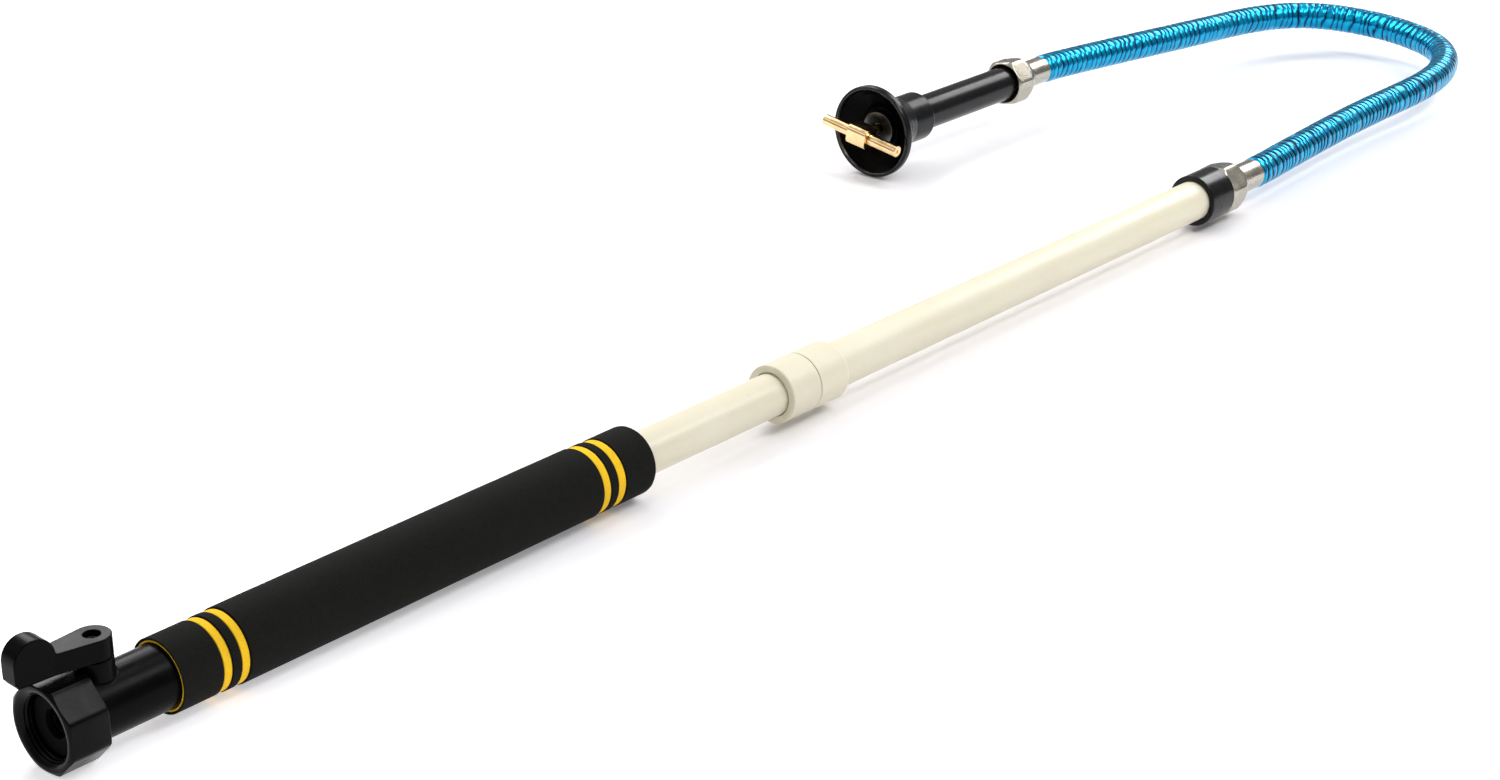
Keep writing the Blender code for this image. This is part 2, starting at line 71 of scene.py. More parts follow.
# ------------------------------------------------------------------ camera
AIM, PITCH = math.radians(40.01), math.radians(22.42)
ahead = Vector((math.cos(PITCH) * math.cos(AIM), math.cos(PITCH) * math.sin(AIM), -math.sin(PITCH)))
cam_data = bpy.data.cameras.new("camera")
cam_data.sensor_fit = "HORIZONTAL"
cam_data.sensor_width = 36.0
cam_data.lens = 36.0 * 2690.0 / 1500.0
cam_data.clip_start, cam_data.clip_end = 0.01, 50.0
cam = bpy.data.objects.new("camera", cam_data)
scene.collection.objects.link(cam)
cam.location = at(-493.6, -752.8, 507.9)
cam.rotation_euler = ahead.to_track_quat("-Z", "Y").to_euler()
scene.camera = cam


# ------------------------------------------------------------------ materials
class Mat:
    """A Principled material with a few helpers for its node tree."""

    def __init__(self, name, rough, metal=0.0, spec=0.5):
        self.m = bpy.data.materials.new(name)
        self.m.use_nodes = True
        self.t = self.m.node_tree
        self.p = self.t.nodes["Principled BSDF"]
        self.p.inputs["Roughness"].default_value = rough
        self.p.inputs["Metallic"].default_value = metal
        self.p.inputs["Specular IOR Level"].default_value = spec
        self.co = self.t.nodes.new("ShaderNodeTexCoord").outputs["Object"]
        self.normal = None

    def node(self, kind, **sockets):
        n = self.t.nodes.new(kind)
        for k, v in sockets.items():
            n.inputs[k].default_value = v
        return n

    def link(self, a, b):
        self.t.links.new(a, b)

    def stretched(self, sx, sy, sz):
        n = self.node("ShaderNodeMapping")
        n.inputs["Scale"].default_value = (sx, sy, sz)
        self.link(self.co, n.inputs["Vector"])
        return n.outputs["Vector"]

    def noise(self, scale, detail=4.0, rough=0.55, vector=None):
        n = self.node("ShaderNodeTexNoise", Scale=scale, Detail=detail, Roughness=rough)
        self.link(vector or self.co, n.inputs["Vector"])
        return n.outputs["Fac"]

    def cells(self, scale, feature="F1", vector=None):
        n = self.node("ShaderNodeTexVoronoi", Scale=scale)
        n.feature = feature
        self.link(vector or self.co, n.inputs["Vector"])
        return n.outputs["Distance"]

    def ramp(self, fac, stops):
        n = self.node("ShaderNodeValToRGB")
        el = n.color_ramp.elements
        while len(el) < len(stops):
            el.new(0.5)
        for e, (pos, c) in zip(el, stops):
            e.position = pos
            e.color = (*c, 1.0) if hasattr(c, "__len__") else (c, c, c, 1.0)
        self.link(fac, n.inputs["Fac"])
        return n.outputs["Color"]

    def span(self, fac, lo, hi, a=0.0, b=1.0):
        n = self.node("ShaderNodeMapRange")
        n.inputs["From Min"].default_value, n.inputs["From Max"].default_value = a, b
        n.inputs["To Min"].default_value, n.inputs["To Max"].default_value = lo, hi
        self.link(fac, n.inputs["Value"])
        return n.outputs["Result"]

    def mix(self, fac, a, b, how="MIX"):
        n = self.node("ShaderNodeMix")
        n.data_type = "RGBA"
        n.blend_type = how
        for s, v in ((n.inputs[0], fac), (n.inputs[6], a), (n.inputs[7], b)):
            if hasattr(v, "is_output"):
                self.link(v, s)
            elif hasattr(v, "__len__"):
                s.default_value = (*v, 1.0)
            else:
                s.default_value = v
        return n.outputs[2]

    def colour(self, out):
        self.link(out, self.p.inputs["Base Color"])
        return self

    def rough(self, out):
        self.link(out, self.p.inputs["Roughness"])
        return self

    def bump(self, height, strength, mm):
        n = self.node("ShaderNodeBump", Strength=strength, Distance=mm * MM)
        self.link(height, n.inputs["Height"])
        if self.normal is not None:
            self.link(self.normal, n.inputs["Normal"])
        self.normal = n.outputs["Normal"]
        self.link(self.normal, self.p.inputs["Normal"])
        return self

    def set(self, **sockets):
        for k, v in sockets.items():
            self.p.inputs[k.replace("_", " ")].default_value = v
        return self


def black_moulding(name, tone, lo, hi, spec, grain):
    """Satin black moulding: fine spark grain and faint blotches in tone and gloss."""
    m = Mat(name, 0.5 * (lo + hi), spec=spec)
    blot = m.noise(90.0, 3.0)
    fine = m.noise(1500.0, 2.0, 0.6)
    m.colour(m.ramp(blot, ((0.3, (tone, tone, tone * 1.02)), (0.75, (tone * 1.45, tone * 1.43, tone * 1.4)))))
    m.rough(m.span(blot, lo, hi, 0.3, 0.72))
    m.bump(fine, 0.12, grain)
    m.bump(m.noise(260.0, 2.0), 0.05, 0.12)
    return m.m


# One black plastic in three copies: the valve and nut copies are darker and less glossy than the head's, as painted
# shade that darkens the handle end.
BLACK = black_moulding("valve_black", 0.0015, 0.24, 0.33, 0.042, 0.05)
NUT_BLACK = black_moulding("nut_black", 0.0015, 0.22, 0.31, 0.070, 0.06)
HEAD_BLACK = black_moulding("head_black", 0.0028, 0.20, 0.28, 0.22, 0.03)


def dish_black():
    """The shield's black: satin outside; darker and far less glossy inside the dish, where the attribute read here is
    1, as painted shade in the dish; fully glossy on the rim and boss edge, where it is -1, so that they catch a bright
    highlight line.
    """
    m = Mat("dish_black", 0.24, spec=0.22)
    a = m.node("ShaderNodeAttribute")
    a.attribute_name = "painted_dish_shade"
    blot = m.noise(90.0, 3.0)
    satin = m.ramp(blot, ((0.3, (0.0028, 0.0028, 0.0029)), (0.75, (0.0041, 0.0040, 0.0039))))
    # Inside the dish the colour drops to near black: painted shade.
    m.colour(m.mix(a.outputs["Fac"], satin, (0.0013, 0.0012, 0.0011)))
    m.rough(m.span(blot, 0.20, 0.28, 0.3, 0.72))
    # Gloss is full on the rim and boss edge and low inside the dish, the latter as part of the painted shade.
    gloss = m.ramp(m.span(a.outputs["Fac"], 0.0, 1.0, -1.0, 1.0), ((0.0, 1.0), (0.5, 0.22), (1.0, 0.035)))
    m.link(gloss, m.p.inputs["Specular IOR Level"])
    m.bump(m.noise(1500.0, 2.0, 0.6), 0.12, 0.03)
    m.bump(m.noise(260.0, 2.0), 0.05, 0.12)
    return m.m


DISH_BLACK = dish_black()


def foam(name, deep, face, spec):
    """Closed-cell foam: small round pits, a few larger ones, and a soft uneven tone; the pits and larger holes are
    painted darker, as painted shade inside the cells.
    """
    m = Mat(name, 0.93, spec=spec)
    cells = m.cells(1150.0)
    big = m.cells(210.0)
    tone = m.noise(60.0, 3.0)
    pit = m.ramp(cells, ((0.06, 0.0), (0.34, 1.0)))
    hole = m.ramp(big, ((0.045, 0.0), (0.1, 1.0)))
    base = m.ramp(tone, ((0.25, tuple(0.82 * c for c in face)), (0.8, face)))
    # Pits take the darker deep colour and the larger holes darker still: painted shade in the cells.
    base = m.mix(pit, tuple(deep), base)
    m.colour(m.mix(hole, tuple(0.75 * c for c in deep), base))
    m.rough(m.span(pit, 0.99, 0.86))
    m.bump(pit, 0.42, 0.16)
    m.bump(hole, 0.35, 0.25)
    m.bump(m.noise(330.0, 3.0), 0.22, 0.16)
    return m.m


# In each call the first colour is the painted shade in the pits, the second the foam's face.
FOAM = foam("black_foam", (0.0016, 0.0016, 0.0015), (0.0085, 0.0084, 0.0074), 0.10)
YELLOW = foam("yellow_foam", (0.72, 0.36, 0.006), (0.95, 0.58, 0.020), 0.15)


def ivory():
    m = Mat("ivory_plastic", 0.34, spec=0.45)
    soft = m.noise(24.0, 3.0)
    speck = m.noise(520.0, 2.0, 0.5)
    base = m.ramp(soft, ((0.28, (0.700, 0.650, 0.495)), (0.74, (0.735, 0.690, 0.545))))
    m.colour(m.mix(m.ramp(speck, ((0.30, 0.10), (0.42, 0.0))), base, (0.57, 0.515, 0.375)))
    m.rough(m.span(soft, 0.30, 0.40, 0.3, 0.7))
    m.bump(m.noise(700.0, 2.0), 0.05, 0.04)
    m.bump(m.noise(55.0, 2.0), 0.06, 0.25)
    return m.set(Subsurface_Weight=0.08, Subsurface_Scale=0.002).m


IVORY = ivory()


def nickel(name, tone, lo, hi, turn):
    """Plated steel: grain that runs round the axis, cloudy gloss and faint warm blotches."""
    m = Mat(name, 0.5 * (lo + hi), metal=1.0)
    lines = m.noise(1.0, 3.0, 0.6, m.stretched(*turn))
    cloud = m.noise(120.0, 4.0)
    m.colour(m.ramp(cloud, ((0.25, tuple(0.84 * c for c in tone)), (0.75, tone))))
    m.rough(m.span(cloud, lo, hi, 0.3, 0.75))
    m.bump(lines, 0.16, 0.03)
    m.bump(m.noise(420.0, 3.0), 0.06, 0.05)
    return m.m


NICKEL = nickel("nickel_plate", (0.50, 0.465, 0.39), 0.22, 0.32, (2600.0, 60.0, 60.0))
STEEL = nickel("plain_steel", (0.58, 0.58, 0.57), 0.22, 0.32, (1800.0, 90.0, 90.0))
# A near-black copy of the plated steel for the lever screw: painted shade for the deep hole it sits in.
SHADED_SCREW_STEEL = nickel("shaded_screw_steel", (0.045, 0.045, 0.048), 0.32, 0.44, (900.0, 900.0, 90.0))


def brass():
    m = Mat("brass", 0.16, metal=1.0)
    lines = m.noise(1.0, 2.0, 0.5, m.stretched(90.0, 1500.0, 90.0))
    cloud = m.noise(170.0, 4.0)
    m.colour(m.ramp(cloud, ((0.25, (0.80, 0.53, 0.25)), (0.75, (0.93, 0.70, 0.40)))))
    m.rough(m.span(cloud, 0.11, 0.24, 0.3, 0.75))
    m.bump(lines, 0.10, 0.02)
    return m.m


BRASS = brass()


def rubber():
    m = Mat("black_rubber", 0.8, spec=0.06)
    n = m.noise(240.0, 3.0)
    m.colour(m.ramp(n, ((0.3, (0.002, 0.002, 0.002)), (0.7, (0.005, 0.005, 0.0046)))))
    m.rough(m.span(n, 0.7, 0.9, 0.3, 0.7))
    m.bump(m.noise(1300.0, 2.0), 0.15, 0.05)
    return m.m


RUBBER = rubber()


def ptfe():
    m = Mat("white_ptfe", 0.5, spec=0.4)
    n = m.noise(150.0, 3.0)
    m.colour(m.ramp(n, ((0.3, (0.80, 0.80, 0.77)), (0.7, (0.90, 0.90, 0.88)))))
    m.rough(m.span(n, 0.42, 0.58, 0.3, 0.7))
    m.bump(m.noise(1.0, 2.0, 0.5, m.stretched(2200.0, 80.0, 80.0)), 0.1, 0.03)
    return m.m


PTFE = ptfe()


def foil():
    """Blue metallised jacket: the attribute read here carries how far each point sits below the ridge tops, and the
    colour goes dark navy by it, as painted shade in the creases.
    """
    m = Mat("blue_foil", 0.18, metal=0.9)
    a = m.node("ShaderNodeAttribute")
    a.attribute_name = "painted_crease_shade"
    cloud = m.noise(110.0, 4.0)
    ridge = m.ramp(cloud, ((0.28, (0.001, 0.260, 0.50)), (0.55, (0.002, 0.355, 0.62)), (0.8, (0.008, 0.450, 0.71))))
    # Ridge blues where the attribute is low, dark navy in the valleys: painted shade in the creases.
    m.colour(m.mix(m.ramp(a.outputs["Fac"], ((0.16, 0.0), (0.52, 1.0))), ridge, (0.0, 0.010, 0.060)))
    m.rough(m.span(cloud, 0.19, 0.30, 0.3, 0.75))
    m.bump(m.noise(900.0, 3.0), 0.06, 0.05)
    return m.set(Coat_Weight=0.06, Coat_Roughness=0.12).m


FOIL = foil()


# ------------------------------------------------------------------ meshes
def link_mesh(name, verts, faces, mat):
    me = bpy.data.meshes.new(name)
    me.from_pydata(row(verts).tolist(), [], faces)
    bm = bmesh.new()
    bm.from_mesh(me)
    bmesh.ops.remove_doubles(bm, verts=bm.verts, dist=1e-7)
    bmesh.ops.recalc_face_normals(bm, faces=bm.faces)
    bm.to_mesh(me)
    bm.free()
    me.shade_smooth()
    me.materials.append(mat)
    o = bpy.data.objects.new(name, me)
    scene.collection.objects.link(o)
    return o


def loop_faces(n, m, wrap):
    """Quads over an n by m grid whose columns close; wrap also joins the last row to the first."""
    out = []
    for i in range(n if wrap else n - 1):
        a, b = i * m, ((i + 1) % n) * m
        for j in range(m):
            k = (j + 1) % m
            out.append((a + j, a + k, b + k, b + j))
    return out


def rounded(points, closed=True, steps=4):
    """Rounds the corners of an outline given as (station, radius, fillet), with a ring just
    beside each fillet that keeps the flats flat."""
    n, out = len(points), []
    for i, (x, r, f) in enumerate(points):
        p = np.array((x, r), float)
        if (not closed and i in (0, n - 1)) or f <= 0:
            out.append(tuple(p))
            continue
        a, b = np.array(points[i - 1][:2], float), np.array(points[(i + 1) % n][:2], float)
        la, lb = np.linalg.norm(a - p), np.linalg.norm(b - p)
        u, v = (a - p) / la, (b - p) / lb
        ang = math.acos(max(-1.0, min(1.0, float(u @ v))))
        if ang > math.pi - 0.05:
            out.append(tuple(p))
            continue
        t = min(f / math.tan(ang / 2), 0.42 * la, 0.42 * lb)
        rad = t * math.tan(ang / 2)
        mid = (u + v) / np.linalg.norm(u + v)
        c = p + mid * rad / math.sin(ang / 2)
        s, e = p + u * t, p + v * t
        d = min(0.15, 0.2 * min(la, lb))
        out.append(tuple(s + u * min(d, 0.45 * la - t if 0.45 * la > t else 0.0)))
        a0 = math.atan2(*(s - c)[::-1])
        a1 = math.atan2(*(e - c)[::-1])
        turn = (a1 - a0 + math.pi) % math.tau - math.pi
        for k in range(steps + 1):
            q = a0 + turn * k / steps
            out.append((c[0] + rad * math.cos(q), c[1] + rad * math.sin(q)))
        out.append(tuple(e + v * min(d, 0.45 * lb - t if 0.45 * lb > t else 0.0)))
    return out


def turned(name, outline, mat, centre=POLE, seg=96, along="X", closed=True, shape=None):
    """Turns a closed outline of (station, radius, fillet) about a line along X or Z.
    shape(x, r, angle) may move a radius."""
    prof = rounded(outline, closed)
    n = len(prof)
    th = np.linspace(0, math.tau, seg, endpoint=False)
    s = np.array([q[0] for q in prof])[:, None] + 0 * th
    r = np.array([q[1] for q in prof])[:, None] + 0 * th
    if shape:
        r = shape(s, r, th[None, :] + 0 * s)
    if along == "X":
        p = np.stack([s, centre[0] + r * np.sin(th), centre[1] - r * np.cos(th)], -1)
    else:
        p = np.stack([centre[0] + r * np.cos(th), centre[1] + r * np.sin(th), s], -1)
    return link_mesh(name, p.reshape(-1, 3), loop_faces(n, seg, closed), mat)


def smin(a, b, k):
    h = np.clip(0.5 + 0.5 * (b - a) / k, 0, 1)
    return b * (1 - h) + a * h - k * h * (1 - h)


def faceted(name, sides, af, turn, x0, x1, front, rear, inner, mat, centre, cut=0.3, thread=None, edge=0.0):
    """A nut: flats that run into a cone at each end.  front and rear are (radius at the face,
    slope in mm of radius per mm); inner is the outline from the rear face's bore to the front's."""
    half = math.pi / sides
    f = np.array([0, .025, .05, .085, .13, .19, .28, .42, .6, .8, 1.0])
    off = np.concatenate([f, 2 - f[-2:0:-1]]) * half
    th = np.concatenate([turn + half + 2 * half * k + off for k in range(sides)])
    phi = (th - turn + half) % (2 * half) - half
    flat = smin(af / 2 / np.cos(phi), np.full_like(th, af / 2 / math.cos(half) - cut), 0.5)
    g = np.array([0, .02, .05, .09, .14, .2, .27, .36, .46, .58, .72, .86, 1.0])
    length = x1 - x0
    d0 = (af / 2 / math.cos(half) - front[0]) / front[1]
    d1 = (af / 2 / math.cos(half) - rear[0]) / rear[1]
    xs = np.concatenate([x0 + g * d0 * 1.15, [x0 + 0.5 * length], (x1 - g * d1 * 1.15)[::-1]])
    rows = [(x0, np.minimum(flat, front[0]) - 0.45), (x0, np.minimum(flat, front[0]) - 0.12)]
    for x in xs[xs < x1 - edge - 0.02] if edge else xs:
        lim = min(front[0] + (x - x0) * front[1], rear[0] + (x1 - x) * rear[1])
        rows.append((min(max(x, x0 + 0.05), x1 - 0.05), smin(flat, np.full_like(th, lim), 0.12)))
    if edge:
        rows += [(x1 - k * edge, flat - d * edge) for k, d in ((1.0, 0.0), (0.62, 0.14), (0.32, 0.36), (0.12, 0.66), (0.0, 1.0))]
    rows += [(x1, np.minimum(flat, rear[0]) - 0.12 - edge), (x1, np.minimum(flat, rear[0]) - 0.45 - edge)]
    for x, r in rounded(inner, closed=False, steps=3):
        rows.append((x, np.full_like(th, r)))
    if thread:
        xa, xb, crest, depth, pitch = thread
        last = rows.pop()
        for x in np.arange(xb, xa - 1e-6, -pitch / 11):
            ph = (x / pitch - th / math.tau) % 1.0
            w = np.clip(np.minimum(1.5 - 3.0 * np.abs(ph - 0.5), 1.0), 0, 1)
            fade = min(1.0, (xb - x) / 1.0, (x - xa) / 0.7)
            rows.append((x, crest + depth * (1 - w * max(0.0, fade))))
        rows.append(last)
    p = np.array([np.stack([np.full_like(th, x), centre[0] + r * np.sin(th), centre[1] - r * np.cos(th)], -1)
                  for x, r in rows])
    return link_mesh(name, p.reshape(-1, 3), loop_faces(len(rows), len(th), True), mat)


def keep(obj, body, slot, *nodes):
    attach(obj, body)
    if nodes:
        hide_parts(*nodes)
    return obj


def prism_bm(outline, lo, hi, plane):
    bm = bmesh.new()
    pick = {"xz": lambda a, b, t: (a, t, b), "xy": lambda a, b, t: (a, b, t)}[plane]
    base = [bm.verts.new(Vector(row(pick(a, b, lo)).tolist())) for a, b in outline]
    face = bm.faces.new(base)
    out = bmesh.ops.extrude_face_region(bm, geom=[face])
    up = Vector(pick(0, 0, hi - lo)) * MM
    bmesh.ops.translate(bm, verts=[v for v in out["geom"] if isinstance(v, bmesh.types.BMVert)], vec=up)
    bmesh.ops.recalc_face_normals(bm, faces=bm.faces)
    return bm


def temp(name, bm):
    me = bpy.data.meshes.new(name)
    bm.to_mesh(me)
    bm.free()
    o = bpy.data.objects.new(name, me)
    scene.collection.objects.link(o)
    return o


def moulded(name, start, steps, voxel, smooth, mat):
    """Joins and cuts plain blanks, then eases every edge by resampling and relaxing the skin."""
    for other, how in steps:
        b = start.modifiers.new(how, "BOOLEAN")
        b.operation, b.object, b.solver = how, other, "EXACT"
    r = start.modifiers.new("remesh", "REMESH")
    r.mode, r.voxel_size, r.use_smooth_shade = "VOXEL", voxel * MM, True
    s = start.modifiers.new("relax", "SMOOTH")
    s.factor, s.iterations = 0.5, smooth
    bpy.context.view_layer.update()
    me = bpy.data.meshes.new_from_object(start.evaluated_get(bpy.context.evaluated_depsgraph_get()))
    for o in [start] + [o for o, _ in steps]:
        bpy.data.objects.remove(o, do_unlink=True)
    me.name = name
    me.shade_smooth()
    me.materials.clear()
    me.materials.append(mat)
    o = bpy.data.objects.new(name, me)
    scene.collection.objects.link(o)
    return o


# ------------------------------------------------------------------ gooseneck hose
ROUTE = (
    (867.3, 0.0, 17.5), (880.0, 0.3, 17.5), (895.5, 1.4, 17.5), (945.5, 4.5, 17.9), (995.5, 6.5, 18.5), (1045.5, 6.4, 19.2),
    (1095.5, 6.0, 20.2), (1120.5, 9.0, 20.7), (1145.0, 16.0, 21.2), (1167.5, 28.0, 21.8), (1185.0, 45.5, 22.4),
    (1196.5, 67.0, 22.9), (1202.5, 90.5, 23.6), (1203.0, 114.0, 24.1), (1197.0, 136.0, 24.7), (1182.0, 153.5, 25.3),
    (1160.5, 164.5, 25.8), (1113.0, 174.5, 26.7), (1063.5, 182.5, 27.5), (1014.5, 191.5, 28.1), (967.5, 200.0, 28.4),
    (954.0, 202.2, 28.4), (941.8, 203.0, 28.4),
)
CUTS = (215.0, 368.0, 388.0, 515.0)
HOSE_R = 9.1


def spline(points, step=0.5):
    p = np.array(points, float)
    t = np.concatenate([[0], np.cumsum(np.linalg.norm(np.diff(p, axis=0), axis=1))])
    n, h = len(t), np.diff(t)
    A, rhs = np.eye(n), np.zeros((n, 3))
    for i in range(1, n - 1):
        A[i, i - 1], A[i, i], A[i, i + 1] = h[i - 1], 2 * (h[i - 1] + h[i]), h[i]
        rhs[i] = 6 * ((p[i + 1] - p[i]) / h[i] - (p[i] - p[i - 1]) / h[i - 1])
    m = np.linalg.solve(A, rhs)
    u = np.linspace(0, t[-1], 6001)
    k = np.clip(np.searchsorted(t, u, side="right") - 1, 0, n - 2)
    a, b, hk = (t[k + 1] - u)[:, None], (u - t[k])[:, None], h[k][:, None]
    c = (m[k] * a ** 3 + m[k + 1] * b ** 3) / (6 * hk) + (p[k] / hk - m[k] * hk / 6) * a \
        + (p[k + 1] / hk - m[k + 1] * hk / 6) * b
    s = np.concatenate([[0], np.cumsum(np.linalg.norm(np.diff(c, axis=0), axis=1))])
    q = np.linspace(0, s[-1], int(round(s[-1] / step)) + 1)
    return q, np.stack([np.interp(q, s, c[:, i]) for i in range(3)], 1)


ARC, LINE = spline(ROUTE)
TOTAL = float(ARC[-1])
TAN = np.gradient(LINE, ARC, axis=0)
TAN /= np.linalg.norm(TAN, axis=1)[:, None]
CURVE = np.convolve(np.gradient(np.unwrap(np.arctan2(TAN[:, 1], TAN[:, 0])), ARC), np.ones(31) / 31, "same")


def waves(count, lo, hi, seed):
    """A smooth one-dimensional wobble made of a few sines, about -1 to 1."""
    r = np.random.default_rng(seed)
    f, a, ph = r.uniform(lo, hi, count), r.uniform(0.5, 1.0, count), r.uniform(0, math.tau, count)
    return lambda x: sum(ai * np.sin(math.tau * fi * x + pi) for fi, ai, pi in zip(f, a, ph)) / a.sum()


W_PHASE, W_AMP, W_FINE, W_SKEW = waves(7, 0.004, 0.05, 1), waves(6, 0.01, 0.09, 2), waves(6, 0.02, 0.2, 3), waves(5, 0.01, 0.05, 4)
W_A, W_B, W_C = waves(5, 0.008, 0.06, 5), waves(5, 0.008, 0.06, 6), waves(5, 0.02, 0.11, 7)


PITCH = np.interp(ARC, (0, 110, 270, 400, 540, 700), (5.0, 5.0, 5.6, 5.4, 5.0, 4.7))
RINGS = np.concatenate([[0.0], np.cumsum(np.diff(ARC) * 2 / (PITCH[1:] + PITCH[:-1]))])


def wrinkle(s, th):
    """Depth of the jacket below its ridge tops, 0 to 1: close rings that wander, fork and fade."""
    ring = np.interp(s, ARC, RINGS)
    lean = 0.20 * np.sin(th + 2.4 * W_A(s)) + 0.12 * np.sin(2 * th + 3.1 * W_B(s)) + 0.07 * np.sin(3 * th + 5.0 * W_C(s))
    p = ring + 0.45 * W_PHASE(s) + lean
    q = 1.9 * ring + 0.9 * W_FINE(s) + 1.3 * lean
    a = 1 - np.abs(np.sin(math.pi * p)) ** 0.62
    b = 1 - np.abs(np.sin(math.pi * q)) ** 0.5
    wa = 0.84 + 0.12 * np.sin(th + 5.0 * W_SKEW(s)) + 0.16 * W_AMP(s)
    wb = 0.12 + 0.10 * np.sin(2 * th + 7.0 * W_AMP(s))
    return np.clip(wa * a + wb * b, 0, 1.25)


def jacket(name, s0, s1, tuck0, tuck1, step=0.36, seg=60):
    s = np.linspace(s0, s1, int(round((s1 - s0) / step)) + 1)
    c = np.stack([np.interp(s, ARC, LINE[:, i]) for i in range(3)], 1)
    t = np.stack([np.interp(s, ARC, TAN[:, i]) for i in range(3)], 1)
    t /= np.linalg.norm(t, axis=1)[:, None]
    side = np.cross((0, 0, 1.0), t)
    side /= np.linalg.norm(side, axis=1)[:, None]
    up = np.cross(t, side)
    th = np.linspace(0, math.tau, seg, endpoint=False)
    S, TH = s[:, None] + 0 * th, th[None, :] + 0 * s[:, None]
    bend = np.interp(s, ARC, CURVE)[:, None] * HOSE_R          # about 0 to 0.13, inside of the bend is +side
    fold = 1.0 + 4.0 * bend * np.cos(TH)
    deep = wrinkle(S, TH)
    r = HOSE_R + 0.16 - np.interp(s, (0, 200, 300, 700), (0.90, 0.78, 0.56, 0.60))[:, None] * deep * np.clip(fold, 0.55, 1.6) + 0.10 * np.sin(2 * TH + 4 * W_A(S)) * W_AMP(S)
    for end, how in ((s0, tuck0), (s1, tuck1)):
        d = np.abs(S - end)
        if how == "fitting":                                    # drawn in under the ferrule's lip
            r = np.where(d < 2.6, r - 0.75 * (1 - d / 2.6) ** 2, r)
    P = c[:, None, :] + r[..., None] * (np.cos(TH)[..., None] * side[:, None, :] + np.sin(TH)[..., None] * up[:, None, :])
    crease_shade_strength = np.interp(s, (0, 210, 310, 700), (1.0, 1.0, 0.76, 0.72))         # painted crease shade: strongest near the pole, weaker on the crown and far leg
    rows, painted_crease_shade, line = [P[i] for i in range(len(s))], [deep[i] * crease_shade_strength[i] for i in range(len(s))], list(c)

    def cap(first):
        i = 0 if first else -1
        d = -t[0] if first else t[-1]
        ring = P[i] - c[i]
        lap = (tuck0 if first else tuck1) == "lap"
        extra = [(0.6, 0.955), (0.7, 0.9), (0.7, 0.6)] if lap else [(0.0, 0.93), (0.0, 0.6)]
        new = [c[i] + ring * k + d * m for m, k in extra]
        for q in new:
            rows.insert(0, q) if first else rows.append(q)
            # The end caps get a little extra painted crease shade.
            painted_crease_shade.insert(0, deep[i] + 0.3) if first else painted_crease_shade.append(deep[i] + 0.3)

    cap(True)
    cap(False)
    n = len(rows)
    verts = np.array(rows).reshape(-1, 3)
    faces = loop_faces(n, seg, False) + [tuple(range(seg)), tuple((n - 1) * seg + j for j in reversed(range(seg)))]
    o = link_mesh(name, verts, faces, FOIL)
    # Stores the painted crease shade for the foil material.
    a = o.data.attributes.new("painted_crease_shade", "FLOAT", "POINT")
    a.data.foreach_set("value", np.array(painted_crease_shade, np.float32).reshape(-1)[:len(o.data.vertices)])
    return o, row(line)


MIDDLE = 378.0
near, near_line = jacket("gooseneck_near", 0.0, MIDDLE, "fitting", "lap")
far, far_line = jacket("gooseneck_far", MIDDLE, TOTAL, "flush", "fitting")


def on_line(s):
    return tuple(row([np.interp(s, ARC, LINE[:, i]) for i in range(3)]).tolist())


for o, bodies, a, b, line, length, nodes in (
        (near, ("upper_pole", "gooseneck"), CUTS[0], CUTS[1], near_line, MIDDLE, ("hose_near_leg", "hose_near_bend", "hose_crown")),
        (far, ("gooseneck", "spray_head"), CUTS[2], CUTS[3], far_line, TOTAL - MIDDLE, ("hose_far_bend", "hose_far_leg"))):
    on_line(a)
    on_line(b)
    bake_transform(o)
    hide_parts(*nodes)

# ------------------------------------------------------------------ hose nut
nut = faceted("swivel", 8, 35.0, 0.0, 0.0, 18.3, (16.9, 1.9), (18.55, 1.6),
              [(18.3, 9.9, 0.2), (17.9, 9.4, 0.2), (12.3, 9.4, 0.3), (12.0, 13.6, 0.3), (6.2, 13.9, 0.0), (1.3, 14.0, 0.0),
               (0.0, 15.5, 0.0)], NUT_BLACK, POLE, cut=0.3, thread=(1.3, 6.0, 13.2, 0.8, 2.2), edge=0.8)
keep(nut, "hose_nut", "black_plastic", "swivel_nut")

# ------------------------------------------------------------------ valve body with stem boss
STEM_X, HUB_R, BODY_R = 25.9, 7.4, 13.5
shell = turned("valve_shell", [
    (12.0, 7.0, 0.2), (12.0, 8.9, 0.2), (19.3, 8.9, 0.2), (19.3, BODY_R, 0.6), (22.5, BODY_R, 0.0), (29.3, BODY_R, 0.0),
    (70, BODY_R, 0.3), (70, 11.0, 0.2), (38.2, 11.0, 0.2), (38.2, 4.5, 0.2), (33, 4.5, 0.2), (33, 7.8, 0.2), (29.3, 7.8, 0.0),
    (22.5, 7.8, 0.0), (19.6, 7.8, 0.2), (19.6, 7.0, 0.1)], BLACK, seg=128)
bm = bmesh.new()
bmesh.ops.create_cone(bm, cap_ends=True, segments=48, radius1=2.8 * MM, radius2=2.8 * MM, depth=12.0 * MM)
bmesh.ops.translate(bm, verts=bm.verts, vec=Vector(row((STEM_X, 0.0, 28.0)).tolist()))
bore = temp("stem_bore", bm)
drill = shell.modifiers.new("stem_bore", "BOOLEAN")
drill.operation, drill.object, drill.solver = "DIFFERENCE", bore, "EXACT"
bpy.context.view_layer.update()
drilled = bpy.data.meshes.new_from_object(shell.evaluated_get(bpy.context.evaluated_depsgraph_get()))
shell.modifiers.clear()
shell.data = drilled
bpy.data.objects.remove(bore, do_unlink=True)


